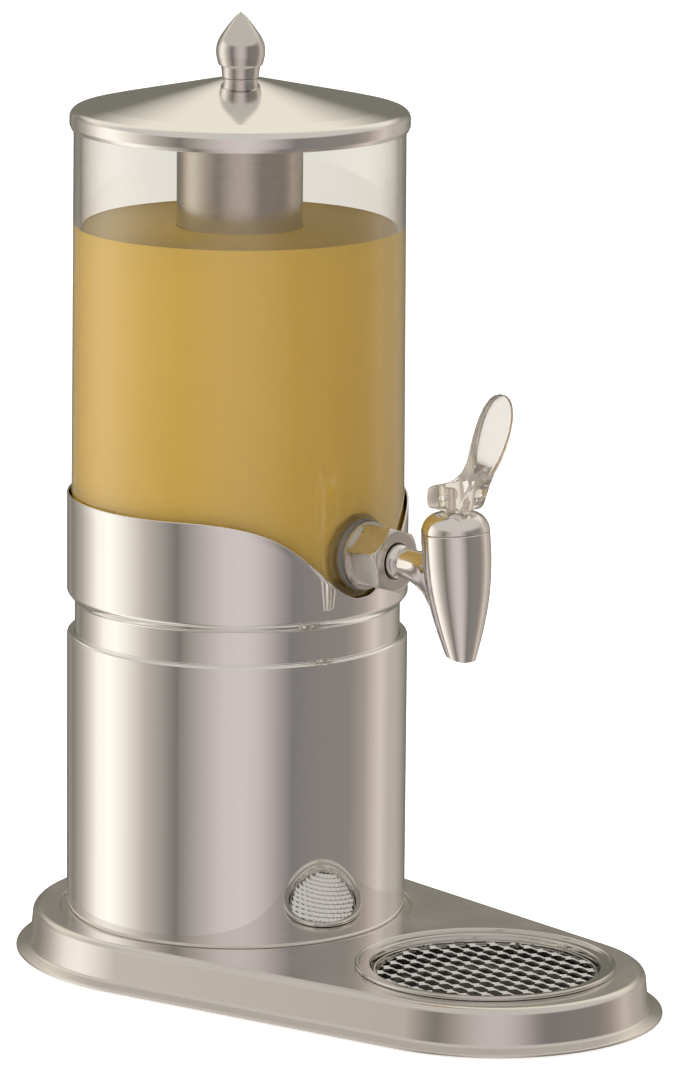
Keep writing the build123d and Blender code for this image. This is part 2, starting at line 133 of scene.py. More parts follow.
def as_points(pairs):
    return [Vector(pair) for pair in pairs]


def rounded(corners, steps=7, support=0.35):
    """Corner points (x, y, radius) to a polyline with arcs for corners and support points beside them."""
    points = []
    last = len(corners) - 1
    for i, corner in enumerate(corners):
        here = Vector(corner[:2])
        radius = corner[2] if len(corner) > 2 else 0.0
        if radius <= 0 or i in (0, last):
            points.append(here)
            continue
        before = Vector(corners[i - 1][:2]) - here
        after = Vector(corners[i + 1][:2]) - here
        turn = before.angle(after)
        reach = radius / math.tan(turn / 2)
        reach = min(reach, before.length * 0.499, after.length * 0.499)
        radius = reach * math.tan(turn / 2)
        start = here + before.normalized() * reach
        inward = (before.normalized() + after.normalized()).normalized()
        middle = here + inward * (radius / math.sin(turn / 2))
        end = here + after.normalized() * reach
        arm_a = start - middle
        arm_b = end - middle
        sweep = arm_a.angle_signed(arm_b)
        if before.length - reach > support * 2:
            points.append(start + before.normalized() * support)
        for step in range(steps + 1):
            angle = sweep * step / steps
            c = math.cos(-angle)
            s = math.sin(-angle)
            points.append(middle + Vector((arm_a.x * c - arm_a.y * s, arm_a.x * s + arm_a.y * c)))
        if after.length - reach > support * 2:
            points.append(end + after.normalized() * support)
    return points


def curve_through(keys, steps=10):
    """Catmull-Rom curve through a few (x, y) points."""
    keys = as_points(keys)
    keys = [keys[0] * 2 - keys[1]] + keys + [keys[-1] * 2 - keys[-2]]
    points = []
    for i in range(1, len(keys) - 2):
        a, b, c, d = keys[i - 1:i + 3]
        for step in range(steps):
            t = step / steps
            points.append(0.5 * ((2 * b) + (c - a) * t + (2 * a - 5 * b + 4 * c - d) * t * t
                                 + (3 * b - a - 3 * c + d) * t ** 3))
    points.append(keys[-2])
    return points


def lathe(name, profile, look, origin, up=UP, out=FORWARD, segments=192, smooth=35.0, closed=False):
    """Turns (radius, height) points in millimetres about an axis."""
    side = up.cross(out)
    bm = bmesh.new()
    rings = []
    for radius, height in profile:
        radius = max(radius, 0.0)
        if radius < 1e-6:
            rings.append([bm.verts.new(origin + up * height * MM)])
            continue
        ring = []
        for k in range(segments):
            angle = 2 * math.pi * k / segments
            direction = out * math.cos(angle) + side * math.sin(angle)
            ring.append(bm.verts.new(origin + direction * radius * MM + up * height * MM))
        rings.append(ring)
    pairs = list(zip(rings, rings[1:]))
    if closed:
        pairs.append((rings[-1], rings[0]))
    for a, b in pairs:
        if len(a) == 1 and len(b) == 1:
            continue
        for k in range(segments):
            n = (k + 1) % segments
            if len(a) == 1:
                bm.faces.new((a[0], b[k], b[n]))
            elif len(b) == 1:
                bm.faces.new((a[k], a[n], b[0]))
            else:
                bm.faces.new((a[k], a[n], b[n], b[k]))
    return new_object(name, bm, look, smooth)


# ---------------------------------------------------------------- materials
EVEN = (1, 1, 1)
# Noise rarely leaves this range, so it is spread from here over the two end values.
NOISE_LOW = 0.3
NOISE_HIGH = 0.7


def material(name, color, metallic=0.0, roughness=0.5, **sockets):
    m = bpy.data.materials.new(name)
    m.use_nodes = True
    shader = m.node_tree.nodes["Principled BSDF"]
    shader.inputs["Base Color"].default_value = (*color, 1)
    shader.inputs["Metallic"].default_value = metallic
    shader.inputs["Roughness"].default_value = roughness
    for key, value in sockets.items():
        shader.inputs[key.replace("_", " ")].default_value = value
    return m


def noise_value(tree, scale, stretch, detail):
    """Noise in the object's own coordinates, drawn out by a stretch along each axis."""
    coordinate = tree.nodes.new("ShaderNodeTexCoord")
    mapping = tree.nodes.new("ShaderNodeMapping")
    mapping.inputs["Scale"].default_value = stretch
    noise = tree.nodes.new("ShaderNodeTexNoise")
    noise.inputs["Scale"].default_value = scale
    noise.inputs["Detail"].default_value = detail
    tree.links.new(coordinate.outputs["Object"], mapping.inputs["Vector"])
    tree.links.new(mapping.outputs["Vector"], noise.inputs["Vector"])
    return noise.outputs["Fac"]


def vary_roughness(m, scale, low, high, stretch=EVEN):
    tree = m.node_tree
    value = noise_value(tree, scale, stretch, 4.0)
    spread = tree.nodes.new("ShaderNodeMapRange")
    spread.inputs["From Min"].default_value = NOISE_LOW
    spread.inputs["From Max"].default_value = NOISE_HIGH
    spread.inputs["To Min"].default_value = low
    spread.inputs["To Max"].default_value = high
    tree.links.new(value, spread.inputs["Value"])
    tree.links.new(spread.outputs["Result"], tree.nodes["Principled BSDF"].inputs["Roughness"])


def vary_color(m, scale, low, high):
    tree = m.node_tree
    value = noise_value(tree, scale, EVEN, 4.0)
    ramp = tree.nodes.new("ShaderNodeValToRGB")
    for element, place, color in zip(ramp.color_ramp.elements, (NOISE_LOW, NOISE_HIGH), (low, high)):
        element.position = place
        element.color = (*color, 1)
    tree.links.new(value, ramp.inputs["Fac"])
    tree.links.new(ramp.outputs["Color"], tree.nodes["Principled BSDF"].inputs["Base Color"])


def add_bump(m, scale, strength, distance, stretch=EVEN, detail=3.0):
    """Fine surface relief from stretched noise."""
    tree = m.node_tree
    value = noise_value(tree, scale, stretch, detail)
    bump = tree.nodes.new("ShaderNodeBump")
    bump.inputs["Strength"].default_value = strength
    bump.inputs["Distance"].default_value = distance
    tree.links.new(value, bump.inputs["Height"])
    tree.links.new(bump.outputs["Normal"], tree.nodes["Principled BSDF"].inputs["Normal"])


def metal(name, color, roughness, noise, stretch=EVEN):
    """Bare metal; noise is its scale and the lowest and highest roughness."""
    m = material(name, color, 1.0, roughness)
    vary_roughness(m, *noise, stretch=stretch)
    return m


def plastic(name, color, roughness, noise, **sockets):
    """Plastic or rubber; noise is its scale and the lowest and highest roughness."""
    m = material(name, color, 0.0, roughness, **sockets)
    vary_roughness(m, *noise)
    return m


def make_materials():
    made = {
        "polished": metal("polished_steel", (0.95, 0.945, 0.935), 0.025, (9.0, 0.018, 0.035), (1, 1, 0.25)),
        "lid": metal("lid_steel", (0.93, 0.92, 0.90), 0.09, (30.0, 0.075, 0.105)),
        "satin": metal("satin_steel", (0.84, 0.815, 0.79), 0.19, (40.0, 0.165, 0.215)),
        "grate": metal("grate_steel", (0.92, 0.92, 0.92), 0.12, (300.0, 0.09, 0.16)),
        "tube": metal("tube_steel", (0.70, 0.68, 0.65), 0.2, (60.0, 0.16, 0.24), (1, 1, 12)),
        "tray": metal("tray_steel", (0.70, 0.69, 0.67), 0.10, (80.0, 0.08, 0.13)),
        # The tub's steel is darkened to 0.16 as painted shade for the deep hollow of the drip tray.
        "tub": metal("tub_steel_painted_shade", (0.16, 0.155, 0.145), 0.35, (80.0, 0.30, 0.40)),
        "knob": metal("knob_steel", (0.80, 0.785, 0.76), 0.08, (80.0, 0.06, 0.11)),
        "gasket": plastic("dark_gasket", (0.10, 0.095, 0.085), 0.5, (200.0, 0.42, 0.58)),
        "chrome": metal("tap_chrome", (0.92, 0.90, 0.88), 0.035, (60.0, 0.025, 0.05)),
        "nut": metal("nut_steel", (0.76, 0.745, 0.71), 0.26, (120.0, 0.22, 0.31)),
        "zinc": metal("zinc_steel", (0.62, 0.63, 0.64), 0.35, (200.0, 0.28, 0.45)),
        "clear": plastic("clear_polycarbonate", (0.962, 0.947, 0.905), 0.01, (25.0, 0.004, 0.02),
                         IOR=1.49, Transmission_Weight=1.0, Coat_Weight=0.8),
        "lever": plastic("clear_acrylic", (0.90, 0.86, 0.80), 0.04, (60.0, 0.01, 0.04),
                         IOR=1.42, Transmission_Weight=0.93),
        "silicone": plastic("silicone", (0.62, 0.58, 0.50), 0.35, (150.0, 0.28, 0.42),
                            IOR=1.41, Transmission_Weight=0.6),
        "rubber": plastic("black_rubber", (0.02, 0.02, 0.02), 0.7, (400.0, 0.6, 0.8)),
        "plastic": plastic("white_plastic", (0.80, 0.79, 0.76), 0.4, (200.0, 0.34, 0.46)),
        "juice": material("orange_juice", (0.80, 0.55, 0.10), 0.0, 0.5),
    }
    add_bump(made["satin"], 900.0, 0.05, 0.00005, stretch=(1, 0.08, 1), detail=2.0)
    add_bump(made["rubber"], 1500.0, 0.2, 0.0001)
    vary_color(made["juice"], 6.0, (0.775, 0.525, 0.085), (0.81, 0.555, 0.105))
    return made


MAT = make_materials()


# ---------------------------------------------------------------- stage, camera and light
# The camera fitted to the photograph: angles in degrees, lengths in metres, lens and sensor in mm.
CAMERA_AZIMUTH = 43.7
CAMERA_ELEVATION = 11.78
CAMERA_DISTANCE = 3.2292
AIM_HEIGHT = 0.210
LENS = 223.36
SENSOR = 36.0
CLIP_END = 60
ROLL = 0.006
AIM_YAW = -0.850
AIM_PITCH = -0.157


def direction_at(azimuth, elevation):
    """Unit direction; azimuth 0 is the -Y side and 90 the tap's side, in degrees."""
    azimuth = math.radians(azimuth)
    elevation = math.radians(elevation)
    return Vector((math.sin(azimuth) * math.cos(elevation), -math.cos(azimuth) * math.cos(elevation),
                   math.sin(elevation)))


def make_camera():
    aim = tower + Vector((0, 0, AIM_HEIGHT))
    place = aim + direction_at(CAMERA_AZIMUTH, CAMERA_ELEVATION) * CAMERA_DISTANCE
    look = (aim - place).to_track_quat("-Z", "Y").to_matrix()
    look = look @ Matrix.Rotation(math.radians(AIM_YAW), 3, "Y")
    look = look @ Matrix.Rotation(math.radians(AIM_PITCH), 3, "X")
    look = look @ Matrix.Rotation(ROLL, 3, "Z")
    data = bpy.data.cameras.new("camera")
    data.sensor_fit = "VERTICAL"
    data.sensor_height = SENSOR
    data.lens = LENS
    data.clip_end = CLIP_END
    camera = bpy.data.objects.new("camera", data)
    camera.matrix_world = Matrix.Translation(place) @ look.to_4x4()
    bpy.context.scene.collection.objects.link(camera)
    bpy.context.scene.camera = camera


# Surroundings as the polished tower mirrors them: bearing from the camera's side, colour (linear).
STUDIO = [(-180, (0.19, 0.18, 0.15)), (-164, (0.19, 0.18, 0.15)), (-157, (0.29, 0.27, 0.24)),
          (-146, (0.23, 0.21, 0.18)), (-130, (0.44, 0.40, 0.35)), (-119, (0.72, 0.65, 0.58)),
          (-109, (1.02, 0.95, 0.86)), (-96, (1.10, 1.05, 0.96)), (-84, (0.92, 0.86, 0.77)),
          (-64, (0.50, 0.45, 0.405)), (-52, (0.34, 0.315, 0.285)), (-41, (0.195, 0.175, 0.16)),
          (-38, (0.26, 0.235, 0.21)), (-23, (0.46, 0.41, 0.385)), (-10, (0.61, 0.54, 0.53)),
          (5, (0.64, 0.575, 0.565)), (16, (0.56, 0.50, 0.49)), (26, (0.41, 0.36, 0.35)),
          (38, (0.21, 0.195, 0.19)), (56, (0.24, 0.22, 0.205)), (82, (0.25, 0.23, 0.21)),
          (96, (0.37, 0.32, 0.285)), (105, (0.54, 0.455, 0.40)), (114, (0.66, 0.58, 0.52)),
          (125, (0.50, 0.455, 0.41)), (140, (0.46, 0.41, 0.355)), (157, (0.27, 0.255, 0.22)),
          (164, (0.19, 0.18, 0.15)), (180, (0.19, 0.18, 0.15))]
# Strength of the soft light on matt surfaces, from the camera's left and from its right.
SOFT_LEFT = 1.88
SOFT_RIGHT = 0.76
SOFT_COLOR = (1.0, 0.985, 0.95, 1)
# Ceiling above the camera's side and beyond the object. It takes over from the ring of
# surroundings between two elevations in degrees. Near turns to far between two places along
# the camera's direction, where 1 is the camera's side and -1 is beyond the object.
CEILING_NEAR = (0.60, 0.57, 0.53, 1)
CEILING_FAR = (0.86, 0.80, 0.69, 1)
CEILING_START = 17
CEILING_FULL = 29
NEAR_EDGE = -0.28
FAR_EDGE = -0.64
# The white backdrop shows through clear plastic between these places along the same direction.
BACKDROP_EDGE = -0.70
BACKDROP_FULL = -0.93


def make_world():
    world = bpy.data.worlds.new("studio")
    bpy.context.scene.world = world
    world.use_nodes = True
    tree = world.node_tree
    tree.nodes.clear()
    add = tree.nodes.new
    link = tree.links.new

    def math_node(operation, first_input, second_input):
        node = add("ShaderNodeMath")
        node.operation = operation
        for socket, value in zip(node.inputs, (first_input, second_input)):
            if isinstance(value, float):
                socket.default_value = value
            else:
                link(value, socket)
        return node.outputs["Value"]

    def ranged(value, from_min, from_max, to_min=0.0, to_max=1.0):
        node = add("ShaderNodeMapRange")
        node.inputs["From Min"].default_value = from_min
        node.inputs["From Max"].default_value = from_max
        node.inputs["To Min"].default_value = to_min
        node.inputs["To Max"].default_value = to_max
        link(value, node.inputs["Value"])
        return node.outputs["Result"]

    def mixed_color(factor, first_color, second_color):
        node = add("ShaderNodeMix")
        node.data_type = "RGBA"
        link(factor, node.inputs["Factor"])
        for name, value in (("A", first_color), ("B", second_color)):
            if isinstance(value, tuple):
                node.inputs[name].default_value = value
            else:
                link(value, node.inputs[name])
        return node.outputs["Result"]

    def mixed_shader(factor, first_shader, second_shader):
        node = add("ShaderNodeMixShader")
        link(factor, node.inputs["Fac"])
        link(first_shader, node.inputs[1])
        link(second_shader, node.inputs[2])
        return node.outputs["Shader"]

    # Directions turned so that X points at the camera's side.
    coordinate = add("ShaderNodeTexCoord")
    turn = add("ShaderNodeVectorRotate")
    turn.rotation_type = "Z_AXIS"
    turn.inputs["Angle"].default_value = math.radians(90 - CAMERA_AZIMUTH)
    link(coordinate.outputs["Generated"], turn.inputs["Vector"])
    split = add("ShaderNodeSeparateXYZ")
    link(turn.outputs["Vector"], split.inputs["Vector"])
    toward, across, height = split.outputs["X"], split.outputs["Y"], split.outputs["Z"]

    # What mirrors and clear plastic see: the ring of surroundings, and the ceiling above it.
    bearing = math_node("ARCTAN2", across, toward)
    ring = add("ShaderNodeValToRGB")
    stops = ring.color_ramp.elements
    stops.remove(stops[1])
    for index, (angle, color) in enumerate(STUDIO):
        stop = stops.new((angle + 180) / 360) if index else stops[0]
        stop.color = (*color, 1)
    link(ranged(bearing, -math.pi, math.pi), ring.inputs["Fac"])
    ceiling = mixed_color(ranged(toward, NEAR_EDGE, FAR_EDGE), CEILING_NEAR, CEILING_FAR)
    ceiling_share = ranged(height, math.sin(math.radians(CEILING_START)),
                           math.sin(math.radians(CEILING_FULL)))
    glossy = add("ShaderNodeBackground")
    link(mixed_color(ceiling_share, ring.outputs["Color"], ceiling), glossy.inputs["Color"])

    soft = add("ShaderNodeBackground")
    soft.inputs["Color"].default_value = SOFT_COLOR
    link(ranged(across, -1.0, 1.0, SOFT_LEFT, SOFT_RIGHT), soft.inputs["Strength"])

    white = add("ShaderNodeBackground")
    white.inputs["Color"].default_value = (1, 1, 1, 1)

    # Straight through clear plastic the white backdrop shows; bent far aside, the darker studio does.
    path = add("ShaderNodeLightPath")
    bounces = math_node("ADD", path.outputs["Glossy Depth"], path.outputs["Diffuse Depth"])
    unbounced = math_node("LESS_THAN", bounces, 0.5)
    clear_view = math_node("MULTIPLY", path.outputs["Is Transmission Ray"], unbounced)
    through = math_node("MULTIPLY", clear_view, ranged(toward, BACKDROP_EDGE, BACKDROP_FULL))
    seen = math_node("MAXIMUM", path.outputs["Is Camera Ray"], through)
    scattered = math_node("GREATER_THAN", path.outputs["Diffuse Depth"], 0.5)
    lit = mixed_shader(scattered, glossy.outputs["Background"], soft.outputs["Background"])
    surface = mixed_shader(seen, lit, white.outputs["Background"])
    output = add("ShaderNodeOutputWorld")
    link(surface, output.inputs["Surface"])


FLOOR_SIZE = 9.0
FLOOR_Z = -0.0002
FLOOR_GLOW = 0.32


def make_floor():
    bm = bmesh.new()
    bmesh.ops.create_grid(bm, x_segments=8, y_segments=8, size=FLOOR_SIZE)
    paper = material("floor_paper", (0.93, 0.93, 0.925), 0.0, 0.9)
    vary_roughness(paper, 3.0, 0.85, 0.95)
    shader = paper.node_tree.nodes["Principled BSDF"]
    shader.inputs["Emission Color"].default_value = (1, 1, 1, 1)
    shader.inputs["Emission Strength"].default_value = FLOOR_GLOW
    floor = new_object("floor", bm, paper)
    floor.location = (0, 0, FLOOR_Z)
    floor.visible_glossy = False
    floor.visible_transmission = False


LIGHT_AIM_HEIGHT = 0.22


def area_light(name, bearing, height, distance, size, power, color):
    """A round light; bearing from the camera and height are angles in degrees."""
    aim = tower + Vector((0, 0, LIGHT_AIM_HEIGHT))
    place = aim + direction_at(CAMERA_AZIMUTH + bearing, height) * distance
    data = bpy.data.lights.new(name, "AREA")
    data.shape = "DISK"
    data.size = size
    data.energy = power
    data.color = color
    light = bpy.data.objects.new(name, data)
    look = (aim - place).to_track_quat("-Z", "Y").to_matrix()
    light.matrix_world = Matrix.Translation(place) @ look.to_4x4()
    light.visible_glossy = False
    light.visible_transmission = False
    bpy.context.scene.collection.objects.link(light)


bpy.context.scene.view_settings.view_transform = "Standard"
make_camera()
make_world()
make_floor()
area_light("key_left", bearing=-70, height=30, distance=2.2, size=1.0, power=14, color=(1.0, 0.97, 0.92))
area_light("top", bearing=10, height=75, distance=2.0, size=1.2, power=10, color=(1.0, 0.98, 0.95))


# ---------------------------------------------------------------- base
BIG_R = (base_high.y - base_low.y) / 2 / MM
SMALL_R = 81.0
RECESS_R = 84.7
RECESS_Z = shell_low.z / MM
TOP_Z = base_high.z / MM
EDGE_Z = base_low.z / MM
UNDER_Z = TOP_Z - 1.6
TRAY_HOLE_R = 57.0
FLAT_EDGE = -16.0
OUTLINE_STEPS = 72
HOLE_STEPS = 160


def outline_ring(bm, offset, height):
    """Vertices round the teardrop at an offset from its foot's edge, in millimetres."""
    big = Vector((tower.x / MM, 0))
    small = Vector((base_high.x / MM - SMALL_R, 0))
    lean = math.acos((BIG_R - SMALL_R) / (small.x - big.x))
    points = []
    for k in range(OUTLINE_STEPS * 2 + 1):
        angle = lean + (2 * math.pi - 2 * lean) * k / (OUTLINE_STEPS * 2)
        points.append(big + Vector((math.cos(angle), math.sin(angle))) * (BIG_R + offset))
    for k in range(OUTLINE_STEPS + 1):
        angle = -lean + 2 * lean * k / OUTLINE_STEPS
        points.append(small + Vector((math.cos(angle), math.sin(angle))) * (SMALL_R + offset))
    return [bm.verts.new((p.x * MM, p.y * MM, height * MM)) for p in points]


def hole_ring(bm, middle, radius, height):
    """Vertices round a level circle, in millimetres."""
    ring = []
    for k in range(HOLE_STEPS):
        angle = 2 * math.pi * k / HOLE_STEPS
        ring.append(bm.verts.new((middle.x + math.cos(angle) * radius * MM, math.sin(angle) * radius * MM,
                                  height * MM)))
    return ring


def fill_between(bm, edges, normal):
    bmesh.ops.triangle_fill(bm, use_beauty=True, use_dissolve=False, edges=edges, normal=normal)


def make_base():
    bm = bmesh.new()
    outside = rounded([(-1.4, EDGE_Z), (0.0, EDGE_Z, 0.5), (0.0, EDGE_Z + 1.3, 1.1),
                       (-6.7, EDGE_Z + 3.0, 2.2), (-8.4, TOP_Z, 3.9), (FLAT_EDGE, TOP_Z)],
                      steps=10, support=0.5)
    rings = [outline_ring(bm, offset, height) for offset, height in outside]
    join_rings(bm, rings)
    top_edges = ring_edges(bm, rings[-1])
    recess = rounded([(RECESS_R + 2.6, TOP_Z), (RECESS_R, TOP_Z, 1.7), (RECESS_R - 0.2, RECESS_Z, 0.6),
                      (RECESS_R - 12, RECESS_Z)], steps=8, support=0.2)
    recess_rings = [hole_ring(bm, tower, radius, height) for radius, height in recess]
    top_edges += ring_edges(bm, recess_rings[0])
    join_rings(bm, recess_rings)
    hole = rounded([(TRAY_HOLE_R + 1.6, TOP_Z), (TRAY_HOLE_R, TOP_Z, 0.8), (TRAY_HOLE_R, TOP_Z - 3)],
                   steps=5, support=0.2)
    hole_rings = [hole_ring(bm, tray, radius, height) for radius, height in hole]
    top_edges += ring_edges(bm, hole_rings[0])
    join_rings(bm, hole_rings)
    bm.faces.new(recess_rings[-1])
    fill_between(bm, top_edges, (0, 0, 1))
    # underside: the same sheet seen from below
    under = [(-1.6, EDGE_Z + 0.5), (-8.9, EDGE_Z + 2.2), (-10.2, UNDER_Z)]
    under_rings = [rings[0]] + [outline_ring(bm, offset, height) for offset, height in under]
    join_rings(bm, under_rings)
    under_edges = ring_edges(bm, under_rings[-1])
    under_edges += ring_edges(bm, hole_ring(bm, tray, TRAY_HOLE_R, UNDER_Z))
    fill_between(bm, under_edges, (0, 0, -1))
    finish(new_object("base_sheet", bm, MAT["satin"], 40), "base", "satin_steel", "base_plate")


# ---------------------------------------------------------------- tower
SHEET = 1.0
TOWER_R = (shell_high.y - shell_low.y) / 2 / MM
NECK_R = 78.3
FOOT_Z = RECESS_Z + 0.02
SHOULDER_Z = shell_high.z / MM
GROOVE_Z = 173.3
COLLAR_Z = 177.8
COLLAR_TOP = collar_high.z / MM
NOTCH_Z = 186.0
NOTCH_WIDTH = 37.6
COLLAR_SEGMENTS = 360
WALL_STEPS = 8
LIP_STEPS = 6


def make_shell():
    profile = rounded([(TOWER_R - SHEET, FOOT_Z), (TOWER_R, FOOT_Z, 0.3), (TOWER_R, SHOULDER_Z, 3.2),
                       (NECK_R, SHOULDER_Z, 0.6), (NECK_R + 0.3, SHOULDER_Z - 6),
                       (NECK_R + 1.0, SHOULDER_Z - 6), (NECK_R + 1.0, SHOULDER_Z - 1.5, 0.5),
                       (TOWER_R - SHEET, SHOULDER_Z - 1.5, 2.0), (TOWER_R - SHEET, FOOT_Z)], steps=12)
    piece = lathe("tower_shell", profile, MAT["polished"], tower, segments=256)
    finish(piece, "base", "polished_steel", "housing_shell")


def collar_edge(across):
    """Height of the collar's swept edge at a sideways distance from the tap, in millimetres."""
    drop = COLLAR_TOP - NOTCH_Z
    swept = COLLAR_TOP + 1.2 - (drop + 1.2) * math.exp(-(across / NOTCH_WIDTH) ** 2)
    return min(COLLAR_TOP, max(swept, NOTCH_Z + 0.4))


def make_collar():
    outer = rounded([(NECK_R, SHOULDER_Z - 5), (NECK_R, GROOVE_Z, 1.2), (TOWER_R, COLLAR_Z, 2.4),
                     (TOWER_R, COLLAR_Z + 6)], steps=10, support=0.4)
    start = outer[-1].y
    lip = SHEET / 2
    bm = bmesh.new()
    columns = []
    for k in range(COLLAR_SEGMENTS):
        angle = 2 * math.pi * k / COLLAR_SEGMENTS
        across = math.sin(angle) * TOWER_R
        top = collar_edge(across) if math.cos(angle) > 0 else COLLAR_TOP
        crown = top - lip
        line = list(outer)
        for step in range(1, WALL_STEPS + 1):
            line.append(Vector((TOWER_R, start + (crown - start) * step / WALL_STEPS)))
        for step in range(1, LIP_STEPS):
            turn = math.pi * step / LIP_STEPS
            line.append(Vector((TOWER_R - lip + math.cos(turn) * lip, crown + math.sin(turn) * lip)))
        for step in range(WALL_STEPS, -1, -1):
            line.append(Vector((TOWER_R - SHEET, start + (crown - start) * step / WALL_STEPS)))
        for point in reversed(outer[:-1]):
            line.append(Vector((point.x - SHEET, point.y + 0.3)))
        direction = Vector((math.cos(angle), math.sin(angle), 0))
        columns.append([bm.verts.new(tower + direction * p.x * MM + Vector((0, 0, p.y * MM)))
                        for p in line])
    join_rings(bm, columns + columns[:1])
    piece = new_object("tower_collar", bm, MAT["polished"], 40)
    finish(piece, "base", "polished_steel", "collar")


# ---------------------------------------------------------------- container and juice
CUP_WALL = 3.5
CUP_FLOOR = 4.0
CUP_TAPER = 1.0
CUP_R = (cup_high.y - cup_low.y) / 2 / MM
CUP_TOP_R = CUP_R - CUP_TAPER
CUP_IN_R = CUP_R - CUP_WALL
CUP_Z = cup_low.z / MM
CUP_TOP = cup_high.z / MM
CUP_FLOOR_Z = CUP_Z + CUP_FLOOR
TAPER_Z = CUP_Z + 20
# Boss round the tap's hole: radii, and the distance from the tower's axis where it leaves the wall.
BOSS_BORE_R = 8.3
BOSS_R = 17.0
BOSS_FOOT = 79.0
JUICE_Z = 354.5
# The juice reaches this far into the wall, so that no film of air shows between them.
JUICE_OVERLAP = 0.15


def make_container():
    profile = rounded([(0, CUP_Z), (CUP_R - 0.4, CUP_Z, 4.0), (CUP_R, TAPER_Z), (CUP_TOP_R, CUP_TOP, 1.0),
                       (CUP_TOP_R - CUP_WALL, CUP_TOP, 1.0), (CUP_IN_R, TAPER_Z),
                       (CUP_IN_R - 1, CUP_FLOOR_Z, 5.0), (0, CUP_FLOOR_Z)], steps=8)
    piece = lathe("container_cup", profile, MAT["clear"], tower, segments=256)
    finish(piece, "vessel", "clear_container", "container")


def make_boss():
    reach = cup_high.x / MM - tower.x / MM
    profile = rounded([(BOSS_BORE_R, BOSS_FOOT), (BOSS_BORE_R, reach), (BOSS_R, reach, 0.8),
                       (BOSS_R + 0.8, BOSS_FOOT + 0.2, 0.4), (BOSS_R + 2.4, BOSS_FOOT - 2)],
                      steps=5, support=0.1)
    origin = tower + Vector((0, 0, neck_height))
    piece = lathe("container_boss", profile, MAT["clear"], origin, FORWARD, UP, 96)
    finish(piece, "vessel", "clear_container")


def make_juice():
    low_r = CUP_IN_R + JUICE_OVERLAP
    floor_z = CUP_FLOOR_Z - JUICE_OVERLAP
    top_r = CUP_IN_R - CUP_TAPER * (JUICE_Z - TAPER_Z) / (CUP_TOP - TAPER_Z) + JUICE_OVERLAP
    profile = rounded([(0, floor_z), (low_r - 1, floor_z, 5.0), (low_r, TAPER_Z), (top_r, JUICE_Z + 0.7),
                       (top_r - 0.6, JUICE_Z + 0.3), (top_r - 2.0, JUICE_Z), (TUBE_R + 1.2, JUICE_Z),
                       (TUBE_R + 0.3, JUICE_Z + 0.5), (TUBE_R + 0.05, JUICE_Z - 2), (0, JUICE_Z - 2)],
                      steps=8)
    piece = lathe("juice", profile, MAT["juice"], tower, segments=256, smooth=50)
    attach(piece, "vessel")


# ---------------------------------------------------------------- lid, knob and ice tube
LID_R = (lid_high.y - lid_low.y) / 2 / MM
LID_Z = lid_low.z / MM
LID_CROWN = lid_high.z / MM - 0.1
LID_SHEET = 0.9
# Where the cone turns down towards its rim, and the radius of that turn.
LID_TURN_R = LID_R - 12
LID_TURN_Z = lid_high.z / MM - 12.7
LID_TURN = 40.0
TUBE_R = 30.0
TUBE_SHEET = 0.8


def make_lid():
    inner_r = LID_R - LID_SHEET
    inner_crown = LID_CROWN - LID_SHEET
    profile = rounded([(LID_R - 1.7, LID_Z + 0.3), (LID_R - 1.0, LID_Z, 0.35), (LID_R, LID_Z + 2.2, 2.0),
                       (LID_R, LID_Z + 9.0, 4.2), (LID_TURN_R, LID_TURN_Z, LID_TURN),
                       (9.5, LID_CROWN, 2.0), (0, LID_CROWN), (0, inner_crown), (9.0, inner_crown),
                       (LID_TURN_R, LID_TURN_Z - LID_SHEET, LID_TURN), (inner_r, LID_Z + 8.2, 3.6),
                       (inner_r, LID_Z + 2.2, 1.0), (LID_R - 1.7, LID_Z + 0.3)], steps=12)
    finish(lathe("lid_cone", profile, MAT["lid"], tower, segments=256), "lid", "polished_steel", "lid_shell")


# The knob's outline: radius and height above its foot.
KNOB_NECK = [(0, 0), (8.3, 0), (8.7, 0.5), (8.9, 2.2), (9.3, 5.3), (9.6, 5.8), (10.3, 6.0), (10.6, 6.5)]
KNOB_BULB = [(10.75, 7.0), (11.5, 10.2), (11.69, 13.2), (11.2, 16.4), (9.75, 19.6), (7.5, 22.9),
             (5.1, 26.1), (2.6, 29.2)]


def make_knob():
    foot_z = knob_low.z / MM
    tip_z = knob_high.z / MM
    neck = as_points((radius, foot_z + height) for radius, height in KNOB_NECK)
    bulb = [(radius, foot_z + height) for radius, height in KNOB_BULB]
    profile = neck + curve_through(bulb + [(0.9, tip_z - 0.8), (0, tip_z)], steps=6)
    piece = lathe("knob", profile, MAT["knob"], tower, segments=128, smooth=30)
    finish(piece, "lid", "polished_steel", "lid_knob")


def make_tube():
    low = tube_low.z / MM
    high = tube_high.z / MM
    inner_r = TUBE_R - TUBE_SHEET
    profile = rounded([(0, low), (TUBE_R, low, 6.0), (TUBE_R, high, 0.3), (inner_r, high, 0.3),
                       (inner_r, low + TUBE_SHEET, 5.2), (0, low + TUBE_SHEET)], steps=8)
    finish(lathe("tube_wall", profile, MAT["tube"], tower), "tube", "tube_steel", "ice_tube")


# ---------------------------------------------------------------- drip tray and grate
TRAY_R = (tray_high.y - tray_low.y) / 2 / MM
TRAY_FLOOR = tray_low.z / MM
TRAY_TOP = tray_high.z / MM
TRAY_SHEET = 1.0
TRAY_SEGMENTS = 224
LEDGE_R = 54.1
LEDGE_Z = 17.4
LEDGE_IN = 50.4
TUB_R = 50.0
# Rolled bead of the rim: its radius, and the arc it is drawn with in degrees.
BEAD_R = 1.09
BEAD_START = -88
BEAD_STEP = 17
BEAD_POINTS = 15


